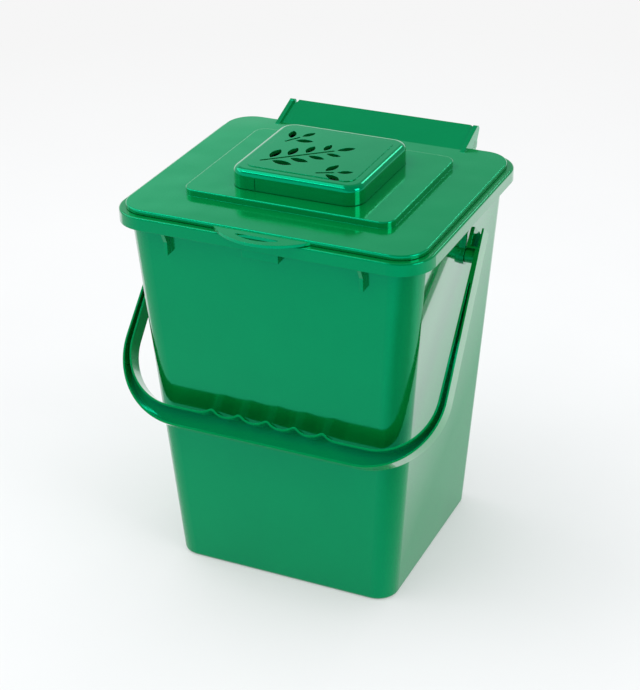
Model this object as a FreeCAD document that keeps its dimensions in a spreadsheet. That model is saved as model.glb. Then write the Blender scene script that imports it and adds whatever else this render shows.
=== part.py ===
import FreeCAD, Part
import Sketcher
import math
import os
from FreeCAD import Vector, Placement, Rotation

doc = FreeCAD.newDocument("CompostPail")

# Driving dimensions in millimetres and degrees. Front is -Y, right is +X, up is +Z, the base stands on Z = 0.
DIMS = [
    ("base_half_x", 86.4),
    ("base_half_y", 80.2),
    ("base_corner", 15.7),
    ("mouth_half_x", 109.4),
    ("mouth_half_y", 91.2),
    ("mouth_corner", 19.5),
    ("wall", 2.0),
    ("floor_thick", 3.0),
    ("foot_round", 2.2),
    ("rim_over_x", 6.7),
    ("rim_over_y", 7.8),
    ("rim_over_corner", 5.5),
    ("rim_top", 282.6),
    ("rim_band", 9.2),
    ("rim_skin", 2.2),
    ("rim_ledge", 2.4),
    ("rim_round", 1.4),
    ("rib_x", 72.4),
    ("rib_thick", 2.6),
    ("rib_drop", 16.6),
    ("rib_set_back", 3.6),
    ("rib_slope", 7.0),
    ("catch_width", 27.0),
    ("catch_drop", 6.6),
    ("catch_set_back", 1.6),
    ("seat_gap", 0.4),
    ("lid_inset", 5.0),
    ("lid_edge", 3.2),
    ("lid_skin", 2.4),
    ("lid_round", 1.0),
    ("step_half_x", 78.2),
    ("step_half_y", 61.3),
    ("step_centre_y", 2.0),
    ("step_corner", 9.0),
    ("step_rise", 4.8),
    ("step_round", 0.9),
    ("ring_gap", 1.7),
    ("ring_thick", 2.0),
    ("ring_depth", 9.0),
    ("tab_half", 35.8),
    ("tab_reach", 16.6),
    ("tab_thick", 2.2),
    ("tab_window_half", 15.5),
    ("tab_window_from", 5.6),
    ("tab_window_to", 11.6),
    ("hinge_reach", 8.0),
    ("hinge_rise", 1.4),
    ("hinge_pin", 2.5),
    ("hinge_fit", 0.1),
    ("hinge_gap", 0.4),
    ("ear_out", 75.8),
    ("ear_thick", 3.4),
    ("ear_foot", 9.2),
    ("ear_boss", 5.2),
    ("flap_lap", 5.5),
    ("flap_over", 7.6),
    ("flap_rise", 9.4),
    ("flap_thick", 2.4),
    ("flap_notch", 3.0),
    ("bracket_width", 7.4),
    ("bracket_boss", 4.0),
    ("heel_radius", 12.4),
    ("cover_half_x", 49.0),
    ("cover_half_y", 47.0),
    ("cover_corner", 12.0),
    ("cover_height", 13.8),
    ("cover_wall", 2.2),
    ("cover_round", 4.2),
    ("field_inset", 8.4),
    ("field_rise", 0.5),
    ("kerb_gap", 0.4),
    ("kerb_thick", 1.6),
    ("kerb_height", 3.4),
    ("grid_slot", 5.0),
    ("grid_pitch", 11.0),
    ("grid_length", 66.0),
    ("filter_gap", 0.5),
    ("filter_thick", 10.0),
    ("pivot_y", 1.0),
    ("pivot_drop", 35.3),
    ("pivot_pin", 3.4),
    ("pivot_fit", 0.1),
    ("pivot_skin", 1.3),
    ("pivot_end_gap", 0.3),
    ("stub_radius", 6.5),
    ("stub_reach", 0.1),
    ("stub_web", 4.0),
    ("collar_radius", 5.0),
    ("bail_rest_gap", 0.5),
    ("bail_front", 6.0),
    ("bail_rear", 7.0),
    ("bail_web", 2.0),
    ("bail_flange", 1.4),
    ("bail_clear", 0.6),
    ("bail_arm", 3.4),
    ("bail_flare", 1.8),
    ("bail_splay", 6.4),
    ("bail_length", 160.2),
    ("grip_height", 14.0),
    ("bail_corner_out", 55.3),
    ("bail_corner_in", 42.0),
    ("grip_pitch", 21.4),
    ("grip_rise", 3.6),
    ("grip_crest", 3.6),
    ("tail_length", 19.3),
    ("tail_clear", 0.6),
    ("tail_flange", 2.8),
    ("tail_scoop", 1.8),
    ("tail_scoop_half", 2.2),
    ("tail_foot", 4.2),
    ("channel_start", 20.0),
]

# Sizes that follow from the ones above, so that neighbours keep their clearances
FOLLOWING = [
    ("rim_half_x", "=mouth_half_x + rim_over_x"),
    ("rim_half_y", "=mouth_half_y + rim_over_y"),
    ("rim_corner", "=mouth_corner + rim_over_corner"),
    ("lid_half_x", "=rim_half_x - lid_inset"),
    ("lid_half_y", "=rim_half_y - lid_inset"),
    ("lid_corner", "=rim_corner - lid_inset"),
    ("hinge_y", "=rim_half_y + hinge_reach"),
    ("hinge_z", "=rim_top + hinge_rise"),
    ("flap_foot_y", "=lid_half_y - flap_lap"),
    ("flap_top_y", "=hinge_y + flap_over"),
    ("pivot_z", "=rim_top - pivot_drop"),
    ("stub_end", "=mouth_half_x + stub_reach"),
    ("bail_arm_in", "=rim_half_x + bail_clear"),
    ("bail_arm_in_low", "=bail_arm_in + bail_flare"),
    ("bail_arm_out", "=bail_arm_in + bail_arm"),
    ("bail_grip", "=bail_length - grip_height"),
    ("pin_end", "=bail_arm_out - pivot_skin"),
    ("tail_in", "=mouth_half_x + tail_clear"),
]

sheet = doc.addObject("Spreadsheet::Sheet", "Dims")
for row, (name, value) in enumerate(DIMS + FOLLOWING, start=1):
    sheet.set("A%d" % row, name)
    sheet.set("B%d" % row, str(value))
    sheet.setAlias("B%d" % row, name)
doc.recompute()


def dim(name):
    """Value of one driving dimension."""
    return float(getattr(sheet, name))


def origin_plane(body, role):
    """One of the body's own origin planes."""
    for feature in body.Origin.OriginFeatures:
        if feature.Role == role:
            return feature
    raise ValueError(role)


def new_body(name):
    """Empty body with a label."""
    body = doc.addObject("PartDesign::Body", name)
    body.Label = name
    return body


def new_sketch(body, name, role="XY_Plane", height=None):
    """Sketch on an origin plane of its body, lifted along the plane's normal by an expression."""
    sketch = body.newObject("Sketcher::SketchObject", name)
    sketch.AttachmentSupport = (origin_plane(body, role), [""])
    sketch.MapMode = "FlatFace"
    if height:
        sketch.setExpression("AttachmentOffset.Base.z", height)
    return sketch


def bind(sketch, constraint, name, expression):
    """Add a dimensional constraint and drive it from the sheet."""
    index = sketch.addConstraint(constraint)
    sketch.renameConstraint(index, name)
    sketch.setExpression("Constraints." + name, expression)


def rounded_rectangle(sketch, tag, half_x, y_front, y_rear, corner):
    """Rounded rectangle; every size is a sheet expression, y_front and y_rear are distances from the X axis."""
    value = lambda text: float(sketch.evalExpression(text))
    hx = value(half_x)
    y0 = -value(y_front)
    y1 = value(y_rear)
    r = value(corner)
    corners = [(hx - r, y0 + r, 270), (hx - r, y1 - r, 0), (-hx + r, y1 - r, 90), (-hx + r, y0 + r, 180)]
    sides = [((-hx + r, y0), (hx - r, y0)), ((hx, y0 + r), (hx, y1 - r)),
             ((hx - r, y1), (-hx + r, y1)), ((-hx, y1 - r), (-hx, y0 + r))]
    lines = []
    arcs = []
    for start, end in sides:
        lines.append(sketch.addGeometry(Part.LineSegment(Vector(*start, 0), Vector(*end, 0)), False))
    for cx, cy, a0 in corners:
        circle = Part.Circle(Vector(cx, cy, 0), Vector(0, 0, 1), r)
        arc = Part.ArcOfCircle(circle, math.radians(a0), math.radians(a0 + 90))
        arcs.append(sketch.addGeometry(arc, False))
    for i in range(4):
        sketch.addConstraint(Sketcher.Constraint("Tangent", lines[i], 2, arcs[i], 1))
        sketch.addConstraint(Sketcher.Constraint("Tangent", arcs[i], 2, lines[(i + 1) % 4], 1))
    sketch.addConstraint(Sketcher.Constraint("Horizontal", lines[0]))
    sketch.addConstraint(Sketcher.Constraint("Vertical", lines[1]))
    sketch.addConstraint(Sketcher.Constraint("Horizontal", lines[2]))
    sketch.addConstraint(Sketcher.Constraint("Vertical", lines[3]))
    for i in range(1, 4):
        sketch.addConstraint(Sketcher.Constraint("Equal", arcs[0], arcs[i]))
    bind(sketch, Sketcher.Constraint("Radius", arcs[0], r), tag + "_corner", corner)
    bind(sketch, Sketcher.Constraint("DistanceX", -1, 1, lines[1], 1, hx), tag + "_right", half_x)
    bind(sketch, Sketcher.Constraint("DistanceX", lines[3], 1, -1, 1, hx), tag + "_left", half_x)
    if y0 <= 0:
        bind(sketch, Sketcher.Constraint("DistanceY", lines[0], 1, -1, 1, -y0), tag + "_front", y_front)
    else:
        bind(sketch, Sketcher.Constraint("DistanceY", -1, 1, lines[0], 1, y0), tag + "_front", "-(" + y_front + ")")
    bind(sketch, Sketcher.Constraint("DistanceY", -1, 1, lines[2], 1, y1), tag + "_rear", y_rear)


def centred_rectangle(sketch, tag, half_x, half_y, corner):
    """Rounded rectangle centred on the sketch origin."""
    rounded_rectangle(sketch, tag, half_x, half_y, half_y, corner)


def closed_outline(sketch, points):
    """Closed outline of straight lines and arcs; an item is a point or (middle, end) of an arc."""
    first = points[0]
    here = first
    for item in points[1:] + [first]:
        if isinstance(item[0], tuple):
            middle, end = item
            arc = Part.Arc(Vector(*here, 0), Vector(*middle, 0), Vector(*end, 0))
            sketch.addGeometry(arc, False)
            here = end
        else:
            if math.dist(here, item) > 1e-6:
                sketch.addGeometry(Part.LineSegment(Vector(*here, 0), Vector(*item, 0)), False)
            here = item


def add_circle(sketch, tag, x, y, radius):
    """Circle whose radius comes from the sheet; x and y are sheet expressions or zero."""
    value = lambda text: float(sketch.evalExpression(text))
    circle = Part.Circle(Vector(value(x), value(y), 0), Vector(0, 0, 1), value(radius))
    index = sketch.addGeometry(circle, False)
    bind(sketch, Sketcher.Constraint("Radius", index, value(radius)), tag + "_radius", radius)
    bind(sketch, Sketcher.Constraint("DistanceX", -1, 1, index, 3, value(x)), tag + "_x", x)
    bind(sketch, Sketcher.Constraint("DistanceY", -1, 1, index, 3, value(y)), tag + "_y", y)


def pad(body, sketch, name, length, reverse=False):
    """Pad driven by a sheet expression."""
    feature = body.newObject("PartDesign::Pad", name)
    feature.Profile = sketch
    feature.setExpression("Length", length)
    feature.Reversed = reverse
    sketch.Visibility = False
    doc.recompute()
    return feature


def pocket(body, sketch, name, length, reverse=False):
    """Pocket driven by a sheet expression; it cuts against the sketch normal unless reversed."""
    before = body.Shape.Volume
    feature = body.newObject("PartDesign::Pocket", name)
    feature.Profile = sketch
    feature.setExpression("Length", length)
    feature.Reversed = reverse
    sketch.Visibility = False
    doc.recompute()
    if body.Shape.Volume >= before - 0.01:
        raise RuntimeError(name + " removes nothing")
    return feature


def loft(body, kind, name, lower, upper):
    """Ruled loft between two outlines."""
    feature = body.newObject("PartDesign::" + kind, name)
    feature.Profile = lower
    feature.Sections = [upper]
    feature.Ruled = True
    doc.recompute()
    return feature


def fillet(body, name, radius, choose):
    """Fillet on every edge of the body's tip that the test picks."""
    tip = body.Tip
    names = ["Edge%d" % i for i, edge in enumerate(tip.Shape.Edges, start=1) if choose(edge)]
    if not names:
        raise RuntimeError(name + " finds no edge")
    feature = body.newObject("PartDesign::Fillet", name)
    feature.Base = (tip, names)
    feature.setExpression("Radius", radius)
    doc.recompute()
    return feature


def mirror_x(body, name, features):
    """Mirror of features about the plane between left and right."""
    feature = body.newObject("PartDesign::Mirrored", name)
    feature.Originals = features
    feature.MirrorPlane = (origin_plane(body, "YZ_Plane"), [""])
    body.Tip = feature
    doc.recompute()
    return feature


def flat_at(edge, z, tolerance=1e-4):
    """True if the whole edge lies at one height."""
    box = edge.BoundBox
    return abs(box.ZMin - z) < tolerance and abs(box.ZMax - z) < tolerance


# Pail: tapered shell, rim band, ribs, catch, hinge bracket and handle stubs
pail = new_body("pail")
base = new_sketch(pail, "pail_base")
centred_rectangle(base, "base", "Dims.base_half_x", "Dims.base_half_y", "Dims.base_corner")
mouth = new_sketch(pail, "pail_mouth", height="Dims.rim_top")
centred_rectangle(mouth, "mouth", "Dims.mouth_half_x", "Dims.mouth_half_y", "Dims.mouth_corner")
doc.recompute()
loft(pail, "AdditiveLoft", "pail_wall", base, mouth)
rim = new_sketch(pail, "pail_rim", height="Dims.rim_top - Dims.rim_band")
centred_rectangle(rim, "rim", "Dims.rim_half_x", "Dims.rim_half_y", "Dims.rim_corner")
pad(pail, rim, "pail_rim_band", "Dims.rim_band")
under = new_sketch(pail, "pail_rim_under", height="Dims.rim_top - Dims.rim_band")
centred_rectangle(under, "skin", "Dims.rim_half_x - Dims.rim_skin", "Dims.rim_half_y - Dims.rim_skin",
                  "Dims.rim_corner - Dims.rim_skin")
centred_rectangle(under, "root", "Dims.mouth_half_x + 0.2", "Dims.mouth_half_y + 0.2", "Dims.mouth_corner + 0.2")
pocket(pail, under, "pail_rim_hollow", "Dims.rim_band - Dims.rim_ledge", reverse=True)
cave_low = new_sketch(pail, "pail_inside_low", height="Dims.floor_thick")
centred_rectangle(cave_low, "low", "Dims.base_half_x - Dims.wall", "Dims.base_half_y - Dims.wall",
                  "Dims.base_corner - Dims.wall")
cave_high = new_sketch(pail, "pail_inside_high", height="Dims.rim_top")
centred_rectangle(cave_high, "high", "Dims.mouth_half_x - Dims.wall", "Dims.mouth_half_y - Dims.wall",
                  "Dims.mouth_corner - Dims.wall")
doc.recompute()
loft(pail, "SubtractiveLoft", "pail_inside", cave_low, cave_high)
fillet(pail, "pail_foot_round", "Dims.foot_round", lambda e: flat_at(e, 0.0))


def on_rim_outline(edge, z):
    """Outer rim edge at a height, straight or corner."""
    if not flat_at(edge, z):
        return False
    p = edge.valueAt((edge.FirstParameter + edge.LastParameter) / 2)
    r = dim("rim_corner")
    dx = max(abs(p.x) - dim("rim_half_x") + r, 0.0)
    dy = max(abs(p.y) - dim("rim_half_y") + r, 0.0)
    return math.hypot(dx, dy) > r - 0.3


fillet(pail, "pail_rim_round", "Dims.rim_round", lambda e: on_rim_outline(e, dim("rim_top")))

# Two ribs and the catch block hang under the front of the rim; their backs run into the wall
rim_low = dim("rim_top") - dim("rim_band")
taper_y = (dim("mouth_half_y") - dim("base_half_y")) / dim("rim_top")
taper_x = (dim("mouth_half_x") - dim("base_half_x")) / dim("rim_top")


def wall_y(z):
    """Half depth of the outer wall at a height."""
    return dim("base_half_y") + taper_y * z


def wall_x(z):
    """Half width of the outer wall at a height."""
    return dim("base_half_x") + taper_x * z


rib_low = rim_low - dim("rib_drop")
rib_front = -dim("rim_half_y") + dim("rib_set_back")
rib = new_sketch(pail, "pail_rib", "YZ_Plane", "Dims.rib_x - Dims.rib_thick / 2")
closed_outline(rib, [
    (-dim("rim_half_y") + 0.3, rim_low + 1.0),
    (-dim("rim_half_y") + 0.3, rim_low),
    (rib_front, rim_low - dim("rib_slope")),
    (rib_front, rib_low),
    (-wall_y(rib_low) + 1.2, rib_low),
    (-wall_y(rim_low) + 1.2, rim_low + 1.0),
])
rib_pad = pad(pail, rib, "pail_rib_pad", "Dims.rib_thick")
mirror_x(pail, "pail_ribs", [rib_pad])
catch = new_sketch(pail, "pail_catch", "YZ_Plane", "-Dims.catch_width / 2")
catch_low = rim_low - dim("catch_drop")
closed_outline(catch, [
    (-dim("rim_half_y") + dim("catch_set_back"), rim_low + 1.0),
    (-dim("rim_half_y") + dim("catch_set_back"), catch_low),
    (-wall_y(catch_low) + 1.2, catch_low),
    (-wall_y(rim_low) + 1.2, rim_low + 1.0),
])
pad(pail, catch, "pail_catch_block", "Dims.catch_width")

# Rear hinge bracket: an arm on each side with a heel that stops the opened flap, and an outward pin
hinge = (dim("hinge_y"), dim("hinge_z"))


def polar(radius, degrees):
    """Point around the hinge axis, as (y, z)."""
    a = math.radians(degrees)
    return (hinge[0] + radius * math.cos(a), hinge[1] + radius * math.sin(a))


boss = dim("bracket_boss")
arm = new_sketch(pail, "pail_bracket", "YZ_Plane",
                 "Dims.ear_out - Dims.ear_thick - Dims.hinge_gap - Dims.bracket_width")
closed_outline(arm, [
    (dim("rim_half_y") - 1.0, rim_low + 0.4),
    (dim("rim_half_y") - 1.0, dim("rim_top") - 1.8),
    polar(boss, 125),
    (polar(boss, 60), polar(boss, 0)),
    polar(dim("heel_radius"), -63),
    polar(dim("heel_radius"), -100),
])
arm_pad = pad(pail, arm, "pail_bracket_arm", "Dims.bracket_width")
pin = new_sketch(pail, "pail_hinge_pin", "YZ_Plane", "Dims.ear_out - Dims.ear_thick - Dims.hinge_gap - 1")
add_circle(pin, "pin", "Dims.hinge_y", "Dims.hinge_z", "Dims.hinge_pin")
pin_pad = pad(pail, pin, "pail_hinge_pin_pad", "Dims.ear_thick + Dims.hinge_gap + 1")
mirror_x(pail, "pail_brackets", [arm_pad, pin_pad])

# Handle stubs: a shoulder on each side wall with a slimmer pin, hung from the rim by an upright web
stub = new_sketch(pail, "pail_stub", "YZ_Plane", "Dims.mouth_half_x - 5")
add_circle(stub, "stub", "Dims.pivot_y", "Dims.pivot_z", "Dims.stub_radius")
stub_pad = pad(pail, stub, "pail_stub_shoulder", "Dims.stub_end - Dims.mouth_half_x + 5")
peg = new_sketch(pail, "pail_peg", "YZ_Plane", "Dims.stub_end - 1")
add_circle(peg, "peg", "Dims.pivot_y", "Dims.pivot_z", "Dims.pivot_pin")
peg_pad = pad(pail, peg, "pail_peg_pad", "Dims.pin_end - Dims.stub_end + 1")
web = new_sketch(pail, "pail_web", "XZ_Plane", "-Dims.pivot_y - Dims.stub_web / 2")
closed_outline(web, [
    (wall_x(dim("pivot_z")) - 1.2, dim("pivot_z")),
    (dim("stub_end"), dim("pivot_z")),
    (dim("stub_end"), rim_low + 1.0),
    (wall_x(rim_low) - 1.2, rim_low + 1.0),
])
web_pad = pad(pail, web, "pail_web_pad", "Dims.stub_web")
mirror_x(pail, "pail_stubs", [stub_pad, peg_pad, web_pad])

# Lid: plate with edge, raised step, centring ring, vent grid, lift tab, hinge flap with ears
lid = new_body("lid")
lid_low = "Dims.rim_top + Dims.seat_gap"
lid_top = "Dims.rim_top + Dims.seat_gap + Dims.lid_edge"
step_front = "Dims.step_half_y - Dims.step_centre_y"
step_rear = "Dims.step_half_y + Dims.step_centre_y"
plate = new_sketch(lid, "lid_plate", height=lid_low)
centred_rectangle(plate, "plate", "Dims.lid_half_x", "Dims.lid_half_y", "Dims.lid_corner")
pad(lid, plate, "lid_plate_pad", "Dims.lid_edge")
z_low = dim("rim_top") + dim("seat_gap")
z_top = z_low + dim("lid_edge")
fillet(lid, "lid_edge_round", "Dims.lid_round", lambda e: flat_at(e, z_top))
step = new_sketch(lid, "lid_step", height=lid_top + " - 1")
rounded_rectangle(step, "step", "Dims.step_half_x", step_front, step_rear, "Dims.step_corner")
pad(lid, step, "lid_step_pad", "Dims.step_rise + 1")
z_step = z_top + dim("step_rise")
fillet(lid, "lid_step_round", "Dims.step_round", lambda e: flat_at(e, z_step))
hollow = new_sketch(lid, "lid_hollow", height=lid_low)
centred_rectangle(hollow, "hollow", "Dims.lid_half_x - Dims.lid_skin", "Dims.lid_half_y - Dims.lid_skin",
                  "Dims.lid_corner - Dims.lid_skin")
pocket(lid, hollow, "lid_hollow_cut", "Dims.lid_edge - Dims.lid_skin", reverse=True)
step_hollow = new_sketch(lid, "lid_step_hollow", height=lid_low)
rounded_rectangle(step_hollow, "under", "Dims.step_half_x - Dims.lid_skin", step_front + " - Dims.lid_skin",
                  step_rear + " - Dims.lid_skin", "Dims.step_corner - Dims.lid_skin")
pocket(lid, step_hollow, "lid_step_hollow_cut", "Dims.lid_edge + Dims.step_rise - Dims.lid_skin", reverse=True)
ring = new_sketch(lid, "lid_ring", height=lid_top + " - Dims.lid_skin - Dims.ring_depth")
ring_x = "Dims.mouth_half_x - Dims.wall - Dims.ring_gap"
ring_y = "Dims.mouth_half_y - Dims.wall - Dims.ring_gap"
ring_r = "Dims.mouth_corner - Dims.wall - Dims.ring_gap"
centred_rectangle(ring, "outer", ring_x, ring_y, ring_r)
centred_rectangle(ring, "inner", ring_x + " - Dims.ring_thick", ring_y + " - Dims.ring_thick",
                  ring_r + " - Dims.ring_thick")
pad(lid, ring, "lid_ring_pad", "Dims.ring_depth + 0.5")

# Kerb on the step: it centres the cap from inside and keeps the filter in place
cover_front = "Dims.cover_half_y - Dims.step_centre_y"
cover_rear = "Dims.cover_half_y + Dims.step_centre_y"
kerb_in = " - Dims.cover_wall - Dims.kerb_gap"
seat_in = kerb_in + " - Dims.kerb_thick"
kerb = new_sketch(lid, "lid_kerb", height=lid_top + " + Dims.step_rise - 0.5")
rounded_rectangle(kerb, "kerb", "Dims.cover_half_x" + kerb_in, cover_front + kerb_in, cover_rear + kerb_in,
                  "Dims.cover_corner" + kerb_in)
rounded_rectangle(kerb, "seat", "Dims.cover_half_x" + seat_in, cover_front + seat_in, cover_rear + seat_in,
                  "Dims.cover_corner" + seat_in)
pad(lid, kerb, "lid_kerb_pad", "Dims.kerb_height + 0.5")

SLOTS = 7
grid = new_sketch(lid, "lid_grid", height=lid_top + " + Dims.step_rise")
half_slot = dim("grid_slot") / 2
half_run = dim("grid_length") / 2 - half_slot
for i in range(SLOTS):
    y = dim("step_centre_y") + (i - (SLOTS - 1) / 2) * dim("grid_pitch")
    closed_outline(grid, [
        (-half_run, y - half_slot),
        (half_run, y - half_slot),
        ((half_run + half_slot, y), (half_run, y + half_slot)),
        (-half_run, y + half_slot),
        ((-half_run - half_slot, y), (-half_run, y - half_slot)),
    ])
pocket(lid, grid, "lid_grid_cut", "Dims.lid_skin + 1")

# Lift tab: a shallow arc in plan with a finger window
edge_y = -dim("lid_half_y")
tab = new_sketch(lid, "lid_tab", height=lid_low)
half = dim("tab_half")
closed_outline(tab, [
    (half, edge_y + 1.5),
    (-half, edge_y + 1.5),
    (-half, edge_y),
    ((0.0, edge_y - dim("tab_reach")), (half, edge_y)),
])
wx = dim("tab_window_half")
wy0 = edge_y - dim("tab_window_from")
wy1 = edge_y - dim("tab_window_to")
closed_outline(tab, [
    (wx - 1.0, wy0),
    (-wx + 1.0, wy0),
    ((-wx - 0.2, wy0 - 0.9), (-wx + 0.8, wy0 - 2.0)),
    ((0.0, wy1), (wx - 0.8, wy0 - 2.0)),
    ((wx + 0.2, wy0 - 0.9), (wx - 1.0, wy0)),
])
pad(lid, tab, "lid_tab_pad", "Dims.tab_thick")

# Flap: an inclined slab from the lid's top to its rear tip, between the ears
flap = new_sketch(lid, "lid_flap", "YZ_Plane", "-(Dims.ear_out - Dims.ear_thick + 0.5)")
run = dim("flap_top_y") - dim("flap_foot_y")
length = math.hypot(run, dim("flap_rise"))
along = (run / length, dim("flap_rise") / length)
down = (along[1] * dim("flap_thick"), -along[0] * dim("flap_thick"))
foot_point = (dim("flap_foot_y"), z_top)
tip_point = (dim("flap_top_y"), z_top + dim("flap_rise"))
root = (dim("lid_half_y") - 1.0 + down[0], z_top + (dim("lid_half_y") - 1.0 - dim("flap_foot_y")) * along[1] / along[0]
        + down[1])
tip_middle = (tip_point[0] + down[0] / 2 + 0.8 * along[0], tip_point[1] + down[1] / 2 + 0.8 * along[1])
closed_outline(flap, [
    (foot_point[0], z_top - 1.2),
    foot_point,
    tip_point,
    (tip_middle, (tip_point[0] + down[0], tip_point[1] + down[1])),
    root,
    (dim("lid_half_y") - 1.0, z_top - 3.2),
    (foot_point[0], z_top - 1.6),
])
pad(lid, flap, "lid_flap_pad", "2 * (Dims.ear_out - Dims.ear_thick + 0.5)")
notch = new_sketch(lid, "lid_flap_notch", "XZ_Plane", "-(Dims.flap_top_y + 6)")
inner_face = dim("ear_out") - dim("ear_thick")
deep = dim("flap_notch")
closed_outline(notch, [
    (inner_face, tip_point[1] - deep),
    (inner_face, tip_point[1] + 4.0),
    (inner_face - deep, tip_point[1] + 4.0),
    (inner_face - deep, tip_point[1] - 0.4),
])
notch_cut = pocket(lid, notch, "lid_flap_notch_cut", "10", reverse=True)
ear = new_sketch(lid, "lid_ear", "YZ_Plane", "Dims.ear_out - Dims.ear_thick")
closed_outline(ear, [
    (dim("lid_half_y") - 2.6, z_low + 0.6),
    (dim("lid_half_y") - dim("ear_foot"), z_top - 0.8),
    (dim("lid_half_y") - dim("ear_foot"), z_top + 0.2),
    (dim("flap_top_y") - 4.2, tip_point[1] + 0.2),
    ((dim("flap_top_y") - 0.2, tip_point[1] + 0.4), (dim("flap_top_y") + 1.6, tip_point[1] - 3.0)),
    polar(dim("ear_boss"), 18),
    (polar(dim("ear_boss"), -80), polar(dim("ear_boss"), -170)),
])
ear_pad = pad(lid, ear, "lid_ear_pad", "Dims.ear_thick")
bore = new_sketch(lid, "lid_ear_bore", "YZ_Plane", "Dims.ear_out + 1")
add_circle(bore, "bore", "Dims.hinge_y", "Dims.hinge_z", "Dims.hinge_pin + Dims.hinge_fit")
bore_cut = pocket(lid, bore, "lid_ear_bore_cut", "Dims.ear_thick + 1.5")
mirror_x(lid, "lid_ears", [notch_cut, ear_pad, bore_cut])

# Filter cover: square cap with a slightly raised field and leaf cut-outs
cover = new_body("filter_cover")
cover_low = lid_top + " + Dims.step_rise + Dims.seat_gap"
z_cover = z_step + dim("seat_gap")
z_cover_top = z_cover + dim("cover_height")
cap = new_sketch(cover, "cover_block", height=cover_low)
rounded_rectangle(cap, "cap", "Dims.cover_half_x", cover_front, cover_rear, "Dims.cover_corner")
pad(cover, cap, "cover_block_pad", "Dims.cover_height")
fillet(cover, "cover_shoulder", "Dims.cover_round", lambda e: flat_at(e, z_cover_top))
room = new_sketch(cover, "cover_room", height=cover_low)
rounded_rectangle(room, "room", "Dims.cover_half_x - Dims.cover_wall", cover_front + " - Dims.cover_wall",
                  cover_rear + " - Dims.cover_wall", "Dims.cover_corner - Dims.cover_wall")
pocket(cover, room, "cover_room_cut", "Dims.cover_height - Dims.cover_wall", reverse=True)
field = new_sketch(cover, "cover_field", height=cover_low + " + Dims.cover_height")
rounded_rectangle(field, "field", "Dims.cover_half_x - Dims.field_inset", cover_front + " - Dims.field_inset",
                  cover_rear + " - Dims.field_inset", "Dims.cover_corner - 5")
pad(cover, field, "cover_field_pad", "Dims.field_rise")


def leaf(sketch, x, y, length, width, degrees):
    """Pointed leaf outline: two arcs that meet at its ends; x and y give the stalk end."""
    a = math.radians(degrees)
    ux, uy = math.cos(a), math.sin(a)
    place = lambda s, w: (x + s * ux - w * uy, y + s * uy + w * ux)
    closed_outline(sketch, [
        place(0, 0),
        (place(0.45 * length, -width / 2), place(length, 0)),
        (place(0.45 * length, width / 2), place(0, 0)),
    ])


def stalk(sketch, x, y, length, width, degrees):
    """Straight slot with round ends."""
    a = math.radians(degrees)
    ux, uy = math.cos(a), math.sin(a)
    place = lambda s, w: (x + s * ux - w * uy, y + s * uy + w * ux)
    r = width / 2
    closed_outline(sketch, [
        place(0, -r),
        place(length, -r),
        (place(length + r, 0), place(length, r)),
        place(0, r),
        (place(-r, 0), place(0, -r)),
    ])


# Leaf sprigs: start, length and direction of each stalk, and the length of its leaves
SPRIG_STARTS = [(-33.0, -27.0), (-32.0, 11.0), (12.0, -33.0)]
SPRIG_RUNS = [52.0, 11.0, 11.0]
SPRIG_DEGREES = [40, 58, 24]
LEAF_LENGTHS = [16.0, 13.5, 13.5]
LEAF_PITCH = 12.5
LEAF_GAP = 2.8
STALK = 2.0
vents = new_sketch(cover, "cover_vents", height=cover_low + " + Dims.cover_height + Dims.field_rise")
for start, run_length, degrees, leaf_length in zip(SPRIG_STARTS, SPRIG_RUNS, SPRIG_DEGREES, LEAF_LENGTHS):
    sx = start[0]
    sy = start[1] + dim("step_centre_y")
    a = math.radians(degrees)
    stalk(vents, sx, sy, run_length, STALK, degrees)
    pairs = max(1, round(run_length / LEAF_PITCH))
    for i in range(pairs):
        s = run_length * (i + 0.55) / pairs
        size = leaf_length * (1.0 - 0.09 * i)
        for side in (1, -1):
            off = LEAF_GAP * side
            px = sx + s * math.cos(a) - off * math.sin(a)
            py = sy + s * math.sin(a) + off * math.cos(a)
            leaf(vents, px, py, size, 0.42 * size, degrees + side * 48)
    tip = run_length + LEAF_GAP
    leaf(vents, sx + tip * math.cos(a), sy + tip * math.sin(a), 0.85 * leaf_length, 0.36 * leaf_length, degrees)
pocket(cover, vents, "cover_vents_cut", "Dims.cover_wall + Dims.field_rise + 3")

# Fine upright slit on each side of the cap: distance from the middle of the side, the same on opposite sides
slit = new_sketch(cover, "cover_slits", height=cover_low)
SLIT = 0.6
SLIT_DEPTH = 0.9
FRONT_SLIT = -28.5
SIDE_SLIT = -9.6


def box_outline(sketch, x, y, half_width, half_depth):
    """Rectangle around a point."""
    closed_outline(sketch, [(x - half_width, y - half_depth), (x + half_width, y - half_depth),
                            (x + half_width, y + half_depth), (x - half_width, y + half_depth)])


for sign in (1, -1):
    box_outline(slit, FRONT_SLIT * sign, dim("step_centre_y") - dim("cover_half_y") * sign, SLIT / 2, SLIT_DEPTH)
    box_outline(slit, dim("cover_half_x") * sign, dim("step_centre_y") + SIDE_SLIT * sign, SLIT_DEPTH, SLIT / 2)
pocket(cover, slit, "cover_slits_cut", "Dims.cover_height - Dims.cover_round - 1", reverse=True)

# Carbon filter: flat pad inside the cap
carbon = new_body("carbon_filter")
pad_sketch = new_sketch(carbon, "carbon_outline", height=lid_top + " + Dims.step_rise")
carbon_in = seat_in + " - Dims.filter_gap"
rounded_rectangle(pad_sketch, "carbon", "Dims.cover_half_x" + carbon_in, cover_front + carbon_in,
                  cover_rear + carbon_in, "Dims.cover_corner" + carbon_in)
pad(carbon, pad_sketch, "carbon_pad", "Dims.filter_thick")

# Handle, drawn hanging straight down from its pivot: X across, Z up, the open side of the channel towards -Y
handle = new_body("handle")


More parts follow.
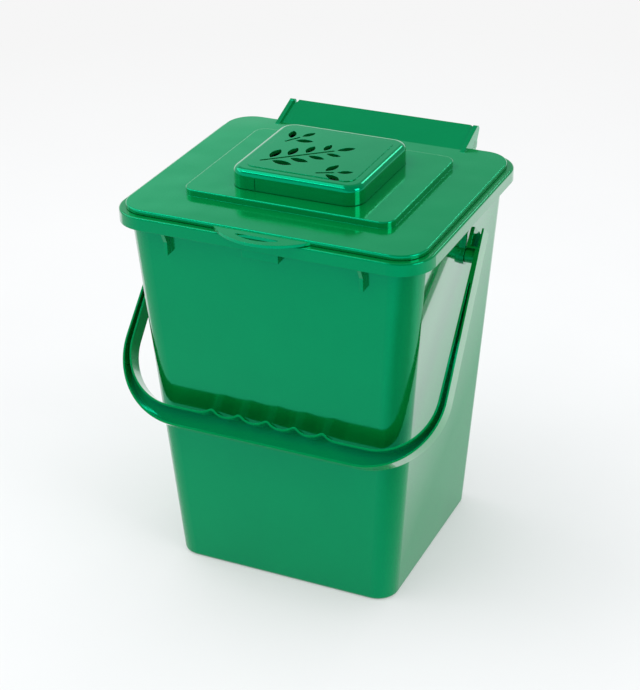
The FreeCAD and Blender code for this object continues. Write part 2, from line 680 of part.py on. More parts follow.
def bail_outline(inset):
    """Closed band of the bail; inset moves both borders into the material by that much."""
    reach = dim("bail_length") - inset
    grip = dim("bail_grip") + inset
    big = dim("bail_corner_out") - inset
    small = dim("bail_corner_in") + inset
    start = dim("channel_start") if inset else 0.0
    slope_out = dim("bail_splay") / dim("bail_length")
    slope_in = (dim("bail_arm_in_low") - dim("bail_arm_in")) / dim("bail_grip")
    out = lambda s: dim("bail_arm_out") + slope_out * s - inset
    inn = lambda s: dim("bail_arm_in") + slope_in * s + inset

    def corner(line, slope, depth, radius):
        """Tangent points and middle of the arc between a slanted arm and the level grip."""
        tilt = math.atan(slope)
        s_centre = depth - radius
        x_centre = line(s_centre) - radius / math.cos(tilt)
        first = (x_centre + radius * math.cos(tilt), -(s_centre - radius * math.sin(tilt)))
        mid_angle = (-tilt * -1.0 + math.pi / 2) / 2
        middle = (x_centre + radius * math.cos(mid_angle), -(s_centre + radius * math.sin(mid_angle)))
        last = (x_centre, -depth)
        return first, middle, last

    o1, om, o2 = corner(out, slope_out, reach, big)
    i1, im, i2 = corner(inn, slope_in, grip, small)
    flip = lambda p: (-p[0], p[1])
    right_top = (out(start), -start)
    points = [right_top, o1, (om, o2), flip(o2), (flip(om), flip(o1)), flip(right_top)]
    points += [(-inn(start), -start), flip(i1), (flip(im), flip(i2))]
    pitch = dim("grip_pitch")
    rise = dim("grip_rise")
    total = ((pitch / 2) ** 2 + rise ** 2) / (2 * rise)
    crest = dim("grip_crest") - inset
    valley = total - dim("grip_crest") + inset
    share = crest / total
    lean = math.asin(pitch / 2 / total)
    cx = -2 * pitch
    points.append((cx - pitch / 2, -grip))
    for k in range(5):
        joint_x = pitch / 2 * share
        joint_z = -grip + rise - crest * (1 - math.cos(lean))
        before = (cx - joint_x, joint_z)
        after = (cx + joint_x, joint_z)
        half_x = valley * math.sin(lean / 2)
        half_z = -grip + valley * (1 - math.cos(lean / 2))
        points.append(((cx - pitch / 2 + half_x, half_z), before))
        points.append(((cx, -grip + rise), after))
        points.append(((cx + pitch / 2 - half_x, half_z), (cx + pitch / 2, -grip)))
        cx += pitch
    points += [i2, (im, i1), (inn(start), -start)]
    return points


band = new_sketch(handle, "handle_band", "XZ_Plane", "-Dims.bail_rear")
closed_outline(band, bail_outline(0.0))
pad(handle, band, "handle_band_pad", "Dims.bail_front + Dims.bail_rear")
channel = new_sketch(handle, "handle_channel", "XZ_Plane", "Dims.bail_front")
closed_outline(channel, bail_outline(dim("bail_flange")))
pocket(handle, channel, "handle_channel_cut", "Dims.bail_front + Dims.bail_rear - Dims.bail_web")

# End of each arm: a short hollow tail above the pivot and a collar with a blind bore for the pail's pin
tail = new_sketch(handle, "handle_tail", "XZ_Plane", "-Dims.bail_rear")
top = dim("tail_length")
out_top = dim("bail_arm_out") - dim("bail_splay") / dim("bail_length") * top
foot_z = dim("tail_foot")
room_in = dim("tail_in") + dim("tail_flange")
scoop_mid = (room_in + out_top - dim("bail_flange")) / 2
closed_outline(tail, [
    (dim("tail_in"), foot_z),
    (dim("bail_arm_in"), foot_z),
    (dim("bail_arm_in"), -1.0),
    (dim("bail_arm_out") - 0.04, -1.0),
    (out_top, top),
    (scoop_mid + dim("tail_scoop_half"), top),
    ((scoop_mid, top - dim("tail_scoop")), (scoop_mid - dim("tail_scoop_half"), top)),
    (dim("tail_in"), top),
])
tail_pad = pad(handle, tail, "handle_tail_pad", "Dims.bail_front + Dims.bail_rear")
tail_room = new_sketch(handle, "handle_tail_room", "XZ_Plane", "Dims.bail_front")
closed_outline(tail_room, [
    (room_in, foot_z + dim("bail_flange")),
    (out_top - dim("bail_flange"), foot_z + dim("bail_flange")),
    (out_top - dim("bail_flange"), top + 1.0),
    (room_in, top + 1.0),
])
tail_cut = pocket(handle, tail_room, "handle_tail_cut", "Dims.bail_front + Dims.bail_rear - Dims.bail_web")
collar = new_sketch(handle, "handle_collar", "YZ_Plane", "Dims.stub_end + Dims.hinge_gap")
add_circle(collar, "collar", "0", "0", "Dims.collar_radius")
collar_pad = pad(handle, collar, "handle_collar_pad", "Dims.bail_arm_in - Dims.stub_end - Dims.hinge_gap + 0.5")
blind = new_sketch(handle, "handle_bore", "YZ_Plane", "Dims.pin_end + Dims.pivot_end_gap")
add_circle(blind, "blind", "0", "0", "Dims.pivot_pin + Dims.pivot_fit")
blind_cut = pocket(handle, blind, "handle_bore_cut", "Dims.pin_end - Dims.stub_end + 3")
mirror_x(handle, "handle_ends", [tail_pad, tail_cut, collar_pad, blind_cut])


def rest_angle():
    """Tilt in degrees at which the grip's crests stop short of the front wall by the rest gap."""
    reach = dim("bail_grip") - dim("grip_rise")
    low, high = 5.0, 85.0
    for _ in range(60):
        tilt = math.radians((low + high) / 2)
        y = dim("pivot_y") + dim("bail_rear") * math.cos(tilt) - reach * math.sin(tilt)
        z = dim("pivot_z") - dim("bail_rear") * math.sin(tilt) - reach * math.cos(tilt)
        if -y - wall_y(z) < dim("bail_rest_gap"):
            low = (low + high) / 2
        else:
            high = (low + high) / 2
    return high


handle.Placement = Placement(Vector(0, dim("pivot_y"), dim("pivot_z")), Rotation(Vector(1, 0, 0), -rest_angle()))
print("handle rests %.2f degrees from upright" % rest_angle())
doc.recompute()

NODES = [pail, lid, cover, carbon, handle]
for item in doc.Objects:
    if "Invalid" in item.State or "Error" in item.State:
        raise RuntimeError("%s: %s" % (item.Name, item.State))
os.makedirs("parts", exist_ok=True)
for node in NODES:
    shape = node.Shape
    if shape.isNull() or not shape.isValid() or len(shape.Solids) != 1:
        raise RuntimeError("%s has %d solids" % (node.Label, len(shape.Solids)))
    box = shape.BoundBox
    print("%-14s %9.1f mm3  x %.2f..%.2f  y %.2f..%.2f  z %.2f..%.2f" % (
        node.Label, shape.Volume, box.XMin, box.XMax, box.YMin, box.YMax, box.ZMin, box.ZMax))
    shape.exportStep("parts/%s.step" % node.Label)
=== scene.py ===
# %% [markdown]
# # Kitchen compost pail
# A green moulded pail with a hinged lid, a vented cap over a black carbon filter and a bail
# handle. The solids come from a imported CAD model. This lesson gives them finished surfaces,
# replaces the soft filter, and sets up a plain studio with the camera of the reference view.

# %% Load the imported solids
import bpy
import bmesh
import math
from mathutils import Matrix, Vector


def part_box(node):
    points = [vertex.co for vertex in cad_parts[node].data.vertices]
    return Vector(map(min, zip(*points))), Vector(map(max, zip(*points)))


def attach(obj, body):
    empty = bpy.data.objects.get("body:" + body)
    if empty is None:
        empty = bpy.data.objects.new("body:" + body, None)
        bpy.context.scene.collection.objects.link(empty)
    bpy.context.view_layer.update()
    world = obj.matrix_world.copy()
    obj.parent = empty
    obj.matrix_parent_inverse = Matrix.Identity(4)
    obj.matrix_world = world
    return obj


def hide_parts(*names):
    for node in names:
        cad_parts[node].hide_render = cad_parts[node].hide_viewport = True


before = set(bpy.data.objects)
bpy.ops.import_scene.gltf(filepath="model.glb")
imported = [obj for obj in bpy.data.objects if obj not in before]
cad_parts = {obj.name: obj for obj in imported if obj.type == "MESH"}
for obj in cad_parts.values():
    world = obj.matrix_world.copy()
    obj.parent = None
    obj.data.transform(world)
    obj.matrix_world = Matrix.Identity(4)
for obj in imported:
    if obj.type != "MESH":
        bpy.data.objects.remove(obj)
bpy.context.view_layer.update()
scene = bpy.context.scene

# %% [markdown]
# ## Camera
# The view is from the front right and above, through a long lens. A camera's matrix holds its
# right, up and back directions as columns, so azimuth, elevation and a small roll give it
# directly, with no tracking constraint that would be left over in the file.

# %% Camera
CAMERA_PLACE = Vector((0.50051, -1.07734, 0.79658))
CAMERA_AZIMUTH = math.radians(25.028)
CAMERA_ELEVATION = math.radians(28.384)
CAMERA_ROLL = math.radians(-1.121)
CAMERA_LENS = 95.87
SENSOR_WIDTH = 36.0
SIGHT_NEAR, SIGHT_FAR = 0.01, 50.0


def camera_matrix(place, azimuth, elevation, roll):
    """World matrix of a camera that looks at the object from an azimuth and elevation."""
    back = Vector((math.sin(azimuth) * math.cos(elevation),
                   -math.cos(azimuth) * math.cos(elevation), math.sin(elevation)))
    level = Vector((math.cos(azimuth), math.sin(azimuth), 0.0))
    upright = back.cross(level)
    right = math.cos(roll) * level + math.sin(roll) * upright
    up = math.cos(roll) * upright - math.sin(roll) * level
    turn = Matrix((right, up, back)).transposed().to_4x4()
    return Matrix.Translation(place) @ turn


camera_data = bpy.data.cameras.new("camera")
camera_data.lens = CAMERA_LENS
camera_data.sensor_width = SENSOR_WIDTH
camera_data.clip_start = SIGHT_NEAR
camera_data.clip_end = SIGHT_FAR
camera = bpy.data.objects.new("camera", camera_data)
camera.matrix_world = camera_matrix(CAMERA_PLACE, CAMERA_AZIMUTH, CAMERA_ELEVATION, CAMERA_ROLL)
scene.collection.objects.link(camera)
scene.camera = camera
print("camera", [round(v, 3) for v in camera.location], "lens", camera_data.lens)

# %% [markdown]
# ## Node helpers: sockets and numbers
# Every finish below is a small node tree. A few helpers keep the trees readable. One starts a
# material, and one feeds a socket, either with a constant or from another node. The rest add
# one node each and return its output: a sum or product of two values, a distance or a
# length along an axis, the place of the shaded point, and a change of range.

# %% Node helpers: sockets and numbers
NOISE_LOW, NOISE_HIGH = 0.3, 0.7  # most values of a noise texture lie between these


def start_material(name):
    """New node material; returns it with its tree and its Principled shader."""
    material = bpy.data.materials.new(name)
    material.use_nodes = True
    tree = material.node_tree
    return material, tree, tree.nodes["Principled BSDF"]


def feed(tree, socket, value):
    """Link a node's output to a socket, or set the socket to a constant."""
    if isinstance(value, bpy.types.NodeSocket):
        tree.links.new(value, socket)
    else:
        socket.default_value = value


def combined(tree, operation, first, second):
    """Result of a Math node on two values."""
    node = tree.nodes.new("ShaderNodeMath")
    node.operation = operation
    feed(tree, node.inputs[0], first)
    feed(tree, node.inputs[1], second)
    return node.outputs["Value"]


def measured(tree, operation, vector, other):
    """Number that a Vector Math node makes of two vectors, such as their distance."""
    node = tree.nodes.new("ShaderNodeVectorMath")
    node.operation = operation
    feed(tree, node.inputs[0], vector)
    feed(tree, node.inputs[1], other)
    return node.outputs["Value"]


def object_place(tree):
    """Place of the shaded point in Object coordinates."""
    return tree.nodes.new("ShaderNodeTexCoord").outputs["Object"]


def to_range(tree, value, low, high, start=NOISE_LOW, end=NOISE_HIGH):
    """Map a grey value from start..end to low..high."""
    node = tree.nodes.new("ShaderNodeMapRange")
    feed(tree, node.inputs["Value"], value)
    feed(tree, node.inputs["From Min"], start)
    feed(tree, node.inputs["From Max"], end)
    feed(tree, node.inputs["To Min"], low)
    feed(tree, node.inputs["To Max"], high)
    return node.outputs["Result"]


print("helpers for sockets and numbers ready")

# %% [markdown]
# ## Node helpers: patterns
# Three more helpers make what is seen: a noise texture on Object coordinates (metres, so a
# scale of 1000 means features of a millimetre), a mix of two tones, and a bump.

# %% Node helpers: patterns
def object_noise(tree, scale, detail, roughness=0.5):
    """Noise texture that reads Object coordinates."""
    noise = tree.nodes.new("ShaderNodeTexNoise")
    feed(tree, noise.inputs["Vector"], object_place(tree))
    feed(tree, noise.inputs["Scale"], scale)
    feed(tree, noise.inputs["Detail"], detail)
    feed(tree, noise.inputs["Roughness"], roughness)
    return noise.outputs["Fac"]


def two_tone(tree, dark, light, grey):
    """Colour between two tones, chosen by a grey value."""
    mix = tree.nodes.new("ShaderNodeMix")
    mix.data_type = "RGBA"
    feed(tree, mix.inputs["A"], dark)
    feed(tree, mix.inputs["B"], light)
    feed(tree, mix.inputs["Factor"], grey)
    return mix.outputs["Result"]


def bump(tree, height, distance, below=None):
    """Bump from a height in metres, over another normal if one is given."""
    node = tree.nodes.new("ShaderNodeBump")
    feed(tree, node.inputs["Height"], height)
    feed(tree, node.inputs["Strength"], 1.0)
    feed(tree, node.inputs["Distance"], distance)
    if below is not None:
        feed(tree, node.inputs["Normal"], below)
    return node.outputs["Normal"]


print("helpers for patterns ready")

# %% [markdown]
# ## Studio
# The pail stands on a wide pale floor that fills the picture. In a bright studio such a floor
# is nearly white and its shadow faint. Its paint is a quiet mottled near-white, and for the
# camera and for mirror-like rays a part of it is plain white, through the Light Path node, so
# that the floor looks bright and sends no more light to the pail. Close to the pail this part
# is small, so that the contact shadow shows. Mirror-like rays see a painted dark patch on the
# floor at the front right. It is a painted reflection with nothing there to cast it, and it
# darkens the mirrored glossy corner of the pail.

# %% Floor: shape
FLOOR_SIZE = 8.0
FLOOR_DROP = 0.0003

floor_mesh = bpy.data.meshes.new("floor")
half = FLOOR_SIZE / 2
floor_corners = [(x, y, -FLOOR_DROP)
                 for x, y in ((-half, -half), (half, -half), (half, half), (-half, half))]
floor_mesh.from_pydata(floor_corners, [], [(0, 1, 2, 3)])
floor = bpy.data.objects.new("floor", floor_mesh)
scene.collection.objects.link(floor)
print("floor", FLOOR_SIZE, "m wide")

# %% Floor: paint
FLOOR_DARK = (0.755, 0.760, 0.765, 1.0)
FLOOR_LIGHT = (0.770, 0.775, 0.780, 1.0)
FLOOR_MOTTLE = (9.0, 3.0)  # scale and detail of the noise
FLOOR_ROUGHNESS = 0.85
FLOOR_GLOSS = 0.1
FLOOR_WHITE = (0.92, 0.92, 0.92, 1.0)
FLOOR_MIDDLE = (0.0, 0.0, 0.0)
WHITE_NEAR = 0.28
WHITE_FAR = 1.0
NEAR_EDGES = (0.10, 1.2)
WHITE_MIRRORED = 0.60
# Painted reflection: a dark grey that mirror-like rays see on the floor round the place below.
PAINTED_REFLECTION_GREY = (0.06, 0.06, 0.06, 1.0)
PAINTED_REFLECTION_PLACE = (0.36, -0.24, 0.0)
PAINTED_REFLECTION_EDGES = (0.14, 0.32)


def mirrored_ray(tree, path):
    """1 for a glossy or transmission ray, else 0."""
    return combined(tree, "MAXIMUM", path["Is Glossy Ray"], path["Is Transmission Ray"])


def reach(tree, place):
    """Distance of the shaded point from a place, both in Object coordinates."""
    return measured(tree, "DISTANCE", object_place(tree), place)


def white_share(tree, path):
    """How much of the floor is plain white, by the kind of ray and the distance."""
    outward = to_range(tree, reach(tree, FLOOR_MIDDLE), WHITE_NEAR, WHITE_FAR, *NEAR_EDGES)
    seen = combined(tree, "MULTIPLY", path["Is Camera Ray"], outward)
    mirrored = to_range(tree, mirrored_ray(tree, path), 0.0, WHITE_MIRRORED, 0.0, 1.0)
    return combined(tree, "MAXIMUM", seen, mirrored)


floor_paint, tree, shader = start_material("floor_paint")
mottle = to_range(tree, object_noise(tree, *FLOOR_MOTTLE), 0.0, 1.0)
feed(tree, shader.inputs["Base Color"], two_tone(tree, FLOOR_DARK, FLOOR_LIGHT, mottle))
feed(tree, shader.inputs["Roughness"], FLOOR_ROUGHNESS)
feed(tree, shader.inputs["Specular IOR Level"], FLOOR_GLOSS)
path = tree.nodes.new("ShaderNodeLightPath").outputs
# Painted reflection: mirror-like rays see the floor dark grey at the front right, which darkens
# the pail's mirrored corner.
outside_painted_reflection = to_range(tree, reach(tree, PAINTED_REFLECTION_PLACE), 0.0, 1.0, *PAINTED_REFLECTION_EDGES)
clear = combined(tree, "MAXIMUM", outside_painted_reflection, path["Is Camera Ray"])
white = tree.nodes.new("ShaderNodeEmission")
feed(tree, white.inputs["Color"], two_tone(tree, PAINTED_REFLECTION_GREY, FLOOR_WHITE, clear))
blend = tree.nodes.new("ShaderNodeMixShader")
feed(tree, blend.inputs["Fac"], white_share(tree, path))
feed(tree, blend.inputs[1], shader.outputs["BSDF"])
feed(tree, blend.inputs[2], white.outputs["Emission"])
feed(tree, tree.nodes["Material Output"].inputs["Surface"], blend.outputs["Shader"])
floor_mesh.materials.append(floor_paint)
print("floor is", floor_paint.name)

# %% [markdown]
# ## Light
# The pail stands in a photo tent: light comes from the whole roof and less of it from the
# walls, so the tops are brightest and no edge burns out. Mirror-like plastic shows the room
# around it. Glossy rays see the tent white low down and at the left, and a plain grey above,
# which keeps the green of the lid deep and leaves a pale sheen at its left. The world's shader
# measures each direction along an axis and picks the tone from a ramp; the camera sees plain
# white.

# %% Tent
TENT_SEEN = (0.92, 0.935, 0.95, 1.0)
TENT_LIGHT = ((0.0, (0.27, 0.276, 0.28)), (1.0, (1.40, 1.43, 1.45)))
TENT_MIRRORED = (
    (0.0, (0.95, 0.95, 0.95)),
    (0.150, (0.92, 0.93, 0.94)),
    (0.170, (0.84, 0.86, 0.88)),
    (0.190, (0.62, 0.65, 0.68)),
    (0.215, (0.51, 0.54, 0.57)),
    (0.40, (0.40, 0.42, 0.44)),
    (1.0, (0.36, 0.37, 0.38)),
)
LIGHT_AXIS = (0.0, 0.0, 1.0)
MIRRORED_AXIS = (0.5, 0.0, 1.0)


def tone_along(tree, direction, axis, tones):
    """Colour from a ramp of (place, colour) stops; the place is measured along an axis."""
    ramp = tree.nodes.new("ShaderNodeValToRGB")
    stops = ramp.color_ramp.elements
    while len(stops) < len(tones):
        stops.new(0.5)
    for stop, (position, colour) in zip(stops, tones):
        stop.position = position
        stop.color = (*colour, 1.0)
    feed(tree, ramp.inputs["Fac"], measured(tree, "DOT_PRODUCT", direction, axis))
    return ramp.outputs["Color"]


world = bpy.data.worlds.new("studio")
world.use_nodes = True
tree = world.node_tree
direction = tree.nodes.new("ShaderNodeTexCoord").outputs["Generated"]
path = tree.nodes.new("ShaderNodeLightPath").outputs
lit = tone_along(tree, direction, LIGHT_AXIS, TENT_LIGHT)
mirrored = tone_along(tree, direction, MIRRORED_AXIS, TENT_MIRRORED)
tent = two_tone(tree, lit, mirrored, mirrored_ray(tree, path))
backdrop = two_tone(tree, tent, TENT_SEEN, path["Is Camera Ray"])
feed(tree, tree.nodes["Background"].inputs["Color"], backdrop)
scene.world = world
scene.view_settings.view_transform = "Standard"
print("tent with", len(TENT_MIRRORED), "mirrored tones")

# %% [markdown]
# ## Soft lights
# A wide soft light at the upper left gives a faint shadow to the right, and a smaller one at
# the right fills in. Two more stand where only rounded edges mirror them, so the edges shine
# as thin lines. Each is a rectangle that faces the middle of the pail, and its matrix turns
# it there, so no constraint is needed.

# %% Soft lights
PAIL_MIDDLE = Vector((0.0, 0.0, 0.15))
# name, place, width and height in metres, power in watts
SOFT_LIGHTS = (
    ("upper_left", (-1.5, -0.2, 1.9), 2.0, 2.0, 17.0),
    ("glint_front", (-0.74, -0.96, 1.75), 1.2, 0.15, 3.0),
    ("glint_right", (0.25, 1.6, 1.33), 0.35, 0.35, 1.6),
    ("fill_right", (2.2, -0.5, 1.1), 1.2, 1.2, 17.0),
)

for name, place, width, height, power in SOFT_LIGHTS:
    lamp = bpy.data.lights.new(name, "AREA")
    lamp.shape = "RECTANGLE"
    lamp.size = width
    lamp.size_y = height
    lamp.energy = power
    light = bpy.data.objects.new(name, lamp)
    turn = (PAIL_MIDDLE - Vector(place)).to_track_quat("-Z", "Y").to_matrix().to_4x4()
    light.matrix_world = Matrix.Translation(place) @ turn
    scene.collection.objects.link(light)
    print("light", name, power, "W")

# %% [markdown]
# ## Moulded green plastic
# The pail, lid, cap and handle are glossy polypropylene from polished moulds. Such a surface
# is almost a mirror at low angles, with a faint orange-peel ripple of about a millimetre and a
# longer waviness of the cooling wall. The colour is mixed in the plastic, so it varies only
# slightly. The dye also colours the weak reflection that is seen straight on, and a clear skin
# adds the white gloss at low angles, through the Layer Weight node. On the pail this gloss is
# weakened by position towards the foot and the rear. This is a painted shade that stands in for
# the darker surroundings which these parts mirror. The lid and the cap are polished more, so
# their gloss is stronger. The cap's green is a shade darker, a painted shade for the dimmer
# light on its front. The handle comes from another mould and is a shade yellower. It is also
# lighter, which is painted light that makes up for the shade in its channel. A Bevel node
# softens the shading at every edge, because a moulded edge is never knife-sharp and catches a
# line of light.

# %% Moulded green plastic: values
# A dark and a light tone for each kind of piece.
WALL_GREENS = ((0.0, 0.136, 0.023, 1.0), (0.0, 0.150, 0.027, 1.0))
# Darker than the pail's greens: painted shade for the dimmer light on the cap's front.
COVER_GREENS_SHADED = ((0.0, 0.112, 0.018, 1.0), (0.0, 0.124, 0.022, 1.0))
# Yellower than the pail's greens, and lighter: painted light that makes up for the shade in the
# handle's channel.
HANDLE_GREENS_YELLOWER_LIT = ((0.0, 0.178, 0.024, 1.0), (0.0, 0.194, 0.028, 1.0))
GREEN_GLOSS = (0.0, 1.0, 0.54, 1.0)
GLOSS_PLAIN = 2.35
GLOSS_POLISHED = 3.0
ROUGHNESS_ENDS = (0.10, 0.15)
# Scale and detail of the noise behind the colour, the roughness, the ripple and the waves.
CLOUDS = (22.0, 3.0)
DULL_SPOTS = (60.0, 4.0)
ORANGE_PEEL = (900.0, 1.0)
LONG_WAVES = (26.0, 1.0)
PEEL_HEIGHT = 0.000002
EDGE_RADIUS = 0.0004
EDGE_SAMPLES = 4
SKIN_SLANT = (0.63, 0.71)
SKIN_ROUGHNESS = 0.05
SKIN_IOR = 2.7
# Along this axis the pail's white gloss is weakened towards the foot and rear: painted shade in
# its reflection.
PAINTED_SHADE_AXIS = (0.0, -0.8, 1.0)
PAINTED_SHADE_ENDS = (0.072, 0.252)
print("gloss", GLOSS_PLAIN, "and polished", GLOSS_POLISHED)


# %% Moulded green plastic: finish
def painted_shade_fade(tree, skin):
    """Skin weakened by position from the top front of the wall to its foot and rear: painted
    shade in the gloss.
    """
    along = measured(tree, "DOT_PRODUCT", object_place(tree), PAINTED_SHADE_AXIS)
    return combined(tree, "MULTIPLY", skin, to_range(tree, along, 0.0, 1.0, *PAINTED_SHADE_ENDS))


def moulded_green(name, waviness, greens=WALL_GREENS, gloss=GLOSS_PLAIN, with_painted_shade=False):
    """Glossy moulded plastic; waviness is the height of its long ripples in metres."""
    material, tree, shader = start_material(name)
    cloud = to_range(tree, object_noise(tree, *CLOUDS), 0.0, 1.0)
    feed(tree, shader.inputs["Base Color"], two_tone(tree, *greens, cloud))
    dull = to_range(tree, object_noise(tree, *DULL_SPOTS), *ROUGHNESS_ENDS)
    feed(tree, shader.inputs["Roughness"], dull)
    edge = tree.nodes.new("ShaderNodeBevel")
    edge.samples = EDGE_SAMPLES
    feed(tree, edge.inputs["Radius"], EDGE_RADIUS)
    peel = bump(tree, object_noise(tree, *ORANGE_PEEL), PEEL_HEIGHT, edge.outputs["Normal"])
    wavy = bump(tree, object_noise(tree, *LONG_WAVES), waviness, peel)
    feed(tree, shader.inputs["Normal"], wavy)
    feed(tree, shader.inputs["IOR"], gloss)
    feed(tree, shader.inputs["Specular Tint"], GREEN_GLOSS)
    slant = tree.nodes.new("ShaderNodeLayerWeight").outputs["Facing"]
    skin = to_range(tree, slant, 0.0, 1.0, *SKIN_SLANT)
    feed(tree, shader.inputs["Coat Weight"], painted_shade_fade(tree, skin) if with_painted_shade else skin)
    feed(tree, shader.inputs["Coat Roughness"], SKIN_ROUGHNESS)
    feed(tree, shader.inputs["Coat IOR"], SKIN_IOR)
    return material


finishes = {
    "pail": moulded_green("pail_green", 0.00012, with_painted_shade=True),
    "lid": moulded_green("lid_green", 0.00028, gloss=GLOSS_POLISHED),
    "filter_cover": moulded_green("cover_green_shaded", 0.00006, COVER_GREENS_SHADED, GLOSS_POLISHED),
    "handle": moulded_green("handle_green_yellower_lit", 0.00006, HANDLE_GREENS_YELLOWER_LIT),
}
print("finishes:", sorted(finishes))

# %% [markdown]
# ## Mouldings
# The four moulded pieces have their true shape in the CAD model, and its meshes carry the
# normals of the real surfaces, so flats shade flat and roundings smooth. A copy with bevelled
# edges could stand for each, but these meshes are clean as they are. So the pieces stay, and
# only get their finish.

# %% Mouldings
for node, finish in finishes.items():
    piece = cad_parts[node]
    piece.data.materials.clear()
    piece.data.materials.append(finish)
    print(node, "is", finish.name, "with", len(piece.data.polygons), "faces")

# %% [markdown]
# ## Carbon filter: finish
# The filter is a soft pad of black foam filled with carbon grains. It is nearly black, without
# gloss, and only slightly uneven in tone; its character comes from its open, crumbly surface,
# so the bump is strong.

# %% Carbon filter finish
CARBON_DARK = (0.004, 0.004, 0.004, 1.0)
CARBON_LIGHT = (0.030, 0.030, 0.031, 1.0)
CARBON_IOR = 1.4
CARBON_ROUGHNESS = (0.72, 0.95)
# Scale and detail of each noise, and the roughness of the finer ones.
SPECKS = (420.0, 4.0, 0.7)
DUST = (700.0, 2.0)
PORES = (1100.0, 3.0, 0.7)
PORE_DEPTH = 0.0006

carbon_black, tree, shader = start_material("carbon_black")
specks = to_range(tree, object_noise(tree, *SPECKS), 0.0, 1.0)
feed(tree, shader.inputs["Base Color"], two_tone(tree, CARBON_DARK, CARBON_LIGHT, specks))
dust = to_range(tree, object_noise(tree, *DUST), *CARBON_ROUGHNESS)
feed(tree, shader.inputs["Roughness"], dust)
feed(tree, shader.inputs["Normal"], bump(tree, object_noise(tree, *PORES), PORE_DEPTH))
feed(tree, shader.inputs["IOR"], CARBON_IOR)
print("finish:", carbon_black.name)

# %% [markdown]
# ## Carbon filter: rings of the pad
# The pad is a closed form with a rounded outline, rounded edges and a slightly crowned top,
# flat only underneath where it rests on the lid's grid. It could be a bevelled box, but a
# crown is easier to draw as rings of points: from the middle of the underside, round the edge,
# to the middle of the top. Each ring is given as its share of the outline's size, how far it
# goes outward from the outline, and its height.

# %% Carbon filter: rings of the pad
PAD_ROOM = 0.0009
PAD_LIFT = 0.0003
PAD_EDGE = 0.0022
PAD_CROWN = 0.0008
PAD_CORNER = 0.0075
RING_POINTS = 96
RING_SHARES = (0.12, 0.3, 0.48, 0.66, 0.84)
EDGE_STEPS = 4
filter_low, filter_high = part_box("carbon_filter")


def rounded_outline(half_x, half_y, corner, count):
    """Points of a rounded rectangle round the origin, evenly spread over its corners."""
    points = []
    for i in range(count):
        turn = 2.0 * math.pi * (i + 0.5) / count
        sx = 1.0 if math.cos(turn) > 0 else -1.0
        sy = 1.0 if math.sin(turn) > 0 else -1.0
        cx = sx * (half_x - corner)
        cy = sy * (half_y - corner)
        points.append((cx + corner * math.cos(turn), cy + corner * math.sin(turn)))
    return points


def pad_rings(bottom, top):
    """Share, outward step and height of every ring, from the underside to the crown."""
    turns = [math.radians(90.0 * k / EDGE_STEPS) for k in range(EDGE_STEPS + 1)]
    rings = [(share, 0.0, bottom) for share in (*RING_SHARES, 1.0)]
    rings += [(1.0, PAD_EDGE * math.sin(a), bottom + PAD_EDGE * (1 - math.cos(a)))
              for a in turns[1:]]
    rings += [(1.0, PAD_EDGE * math.cos(a), top - PAD_EDGE * (1 - math.sin(a)))
              for a in turns]
    rings += [(share, 0.0, top + PAD_CROWN * (1 - share ** 4))
              for share in reversed(RING_SHARES)]
    return rings


print("space for the pad", [round(v, 4) for v in filter_high - filter_low])

# %% [markdown]
# ## Carbon filter: pad
# The rings are joined by quads and closed by a face at either end. The pad stays a little
# smaller than the space that the CAD model keeps for it, so that its crumbs fit in too.

# %% Carbon filter pad
def foam_pad(low, high):
    """Soft pad that fills a box but for a little room at its sides and top."""
    half_x = (high[0] - low[0]) / 2 - PAD_ROOM
    half_y = (high[1] - low[1]) / 2 - PAD_ROOM
    mid_x = (high[0] + low[0]) / 2
    mid_y = (high[1] + low[1]) / 2
    outline = rounded_outline(half_x - PAD_EDGE, half_y - PAD_EDGE,
                              PAD_CORNER - PAD_EDGE, RING_POINTS)
    shape = bmesh.new()
    loops = []
    for share, outward, height in pad_rings(low[2] + PAD_LIFT, high[2] - PAD_ROOM - PAD_CROWN):
        loop = []
        for x, y in outline:
            dx = x - math.copysign(half_x - PAD_CORNER, x)
            dy = y - math.copysign(half_y - PAD_CORNER, y)
            size = math.hypot(dx, dy)
            px = mid_x + x * share + outward * dx / size
            py = mid_y + y * share + outward * dy / size
            loop.append(shape.verts.new((px, py, height)))
        loops.append(loop)
    for below, above in zip(loops, loops[1:]):
        for i in range(RING_POINTS):
            j = (i + 1) % RING_POINTS
            shape.faces.new((below[i], below[j], above[j], above[i]))
    shape.faces.new(list(reversed(loops[0])))
    shape.faces.new(loops[-1])
    bmesh.ops.recalc_face_normals(shape, faces=shape.faces)
    mesh = bpy.data.meshes.new("carbon_pad")
    shape.to_mesh(mesh)
    shape.free()
    mesh.shade_smooth()
    return mesh


pad_draft = bpy.data.objects.new("carbon_pad_draft", foam_pad(filter_low, filter_high))
scene.collection.objects.link(pad_draft)
print("pad", len(pad_draft.data.polygons), "faces")

# %% [markdown]
# ## Carbon filter: grains
# Thousands of crumbs stand out of the foam. They could be modelled in a loop, but scattering is
# what Geometry Nodes do best: points spread over the pad's surface, a small faceted crumb on
# each with its own turn and size, and the crumbs joined to the pad as one mesh. The seed is
# fixed, so every run gives the same pad.

# %% Carbon filter grains: node tree
GRAIN_INPUTS = (
    ("Geometry", "NodeSocketGeometry"),
    ("Grains per square metre", "NodeSocketFloat"),
    ("Grain radius", "NodeSocketFloat"),
    ("Seed", "NodeSocketInt"),
    ("Finish", "NodeSocketMaterial"),
)
GRAIN_TURN = (6.283, 6.283, 6.283)
GRAIN_SMALL = (0.5, 0.5, 0.4)
GRAIN_LARGE = (1.2, 1.2, 1.0)


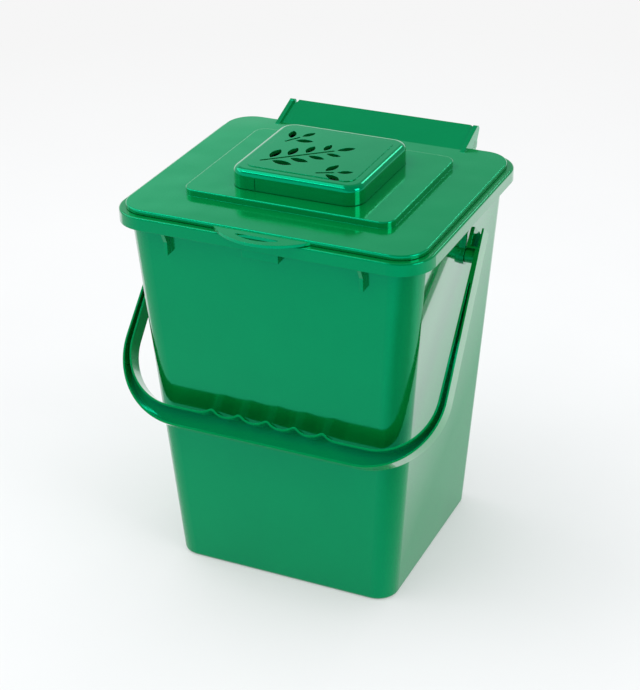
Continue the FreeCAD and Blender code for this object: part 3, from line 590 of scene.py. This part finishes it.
def grain_tree():
    """Node tree that scatters faceted crumbs over a mesh and joins them to it."""
    tree = bpy.data.node_groups.new("carbon_grains", "GeometryNodeTree")
    for name, kind in GRAIN_INPUTS:
        tree.interface.new_socket(name, in_out="INPUT", socket_type=kind)
    tree.interface.new_socket("Geometry", in_out="OUTPUT", socket_type="NodeSocketGeometry")
    add = tree.nodes.new
    given = add("NodeGroupInput").outputs
    spread = add("GeometryNodeDistributePointsOnFaces")
    crumb = add("GeometryNodeMeshIcoSphere")
    crumb.inputs["Subdivisions"].default_value = 1
    turn = add("FunctionNodeRandomValue")
    turn.data_type = "FLOAT_VECTOR"
    turn.inputs[1].default_value = GRAIN_TURN
    size = add("FunctionNodeRandomValue")
    size.data_type = "FLOAT_VECTOR"
    size.inputs[0].default_value = GRAIN_SMALL
    size.inputs[1].default_value = GRAIN_LARGE
    place = add("GeometryNodeInstanceOnPoints")
    join = add("GeometryNodeJoinGeometry")
    real = add("GeometryNodeRealizeInstances")
    paint = add("GeometryNodeSetMaterial")
    result = add("NodeGroupOutput")
    for source, target in (
            (given["Geometry"], spread.inputs["Mesh"]),
            (given["Grains per square metre"], spread.inputs["Density"]),
            (given["Seed"], spread.inputs["Seed"]),
            (given["Seed"], turn.inputs["Seed"]),
            (given["Seed"], size.inputs["Seed"]),
            (given["Grain radius"], crumb.inputs["Radius"]),
            (spread.outputs["Points"], place.inputs["Points"]),
            (crumb.outputs["Mesh"], place.inputs["Instance"]),
            (turn.outputs["Value"], place.inputs["Rotation"]),
            (size.outputs["Value"], place.inputs["Scale"]),
            (place.outputs["Instances"], join.inputs["Geometry"]),
            (given["Geometry"], join.inputs["Geometry"]),
            (join.outputs["Geometry"], real.inputs["Geometry"]),
            (real.outputs["Geometry"], paint.inputs["Geometry"]),
            (given["Finish"], paint.inputs["Material"]),
            (paint.outputs["Geometry"], result.inputs["Geometry"])):
        tree.links.new(source, target)
    return tree


grains = pad_draft.modifiers.new("carbon_grains", "NODES")
grains.node_group = grain_tree()
print("grain tree with", len(grains.node_group.nodes), "nodes")

# %% [markdown]
# ## Carbon filter: finished piece
# The tree's inputs are set by their identifiers. Then the evaluated pad becomes a plain mesh
# without modifiers, which stands for the filter and rides with the lid.

# %% Carbon filter: finished piece
GRAIN_VALUES = {"Grains per square metre": 260000.0, "Grain radius": 0.00055,
                "Seed": 7, "Finish": carbon_black}


def plain_mesh(draft):
    """Mesh of an object with its modifiers applied; the object itself is removed."""
    graph = bpy.context.evaluated_depsgraph_get()
    mesh = bpy.data.meshes.new_from_object(draft.evaluated_get(graph))
    bpy.data.objects.remove(draft)
    return mesh


for item in grains.node_group.interface.items_tree:
    if item.in_out == "INPUT" and item.name in GRAIN_VALUES:
        grains[item.identifier] = GRAIN_VALUES[item.name]
carbon_filter = bpy.data.objects.new("carbon_filter_pad", plain_mesh(pad_draft))
scene.collection.objects.link(carbon_filter)
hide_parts("carbon_filter")
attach(carbon_filter, "lid")
print("filter", len(carbon_filter.data.polygons), "faces")
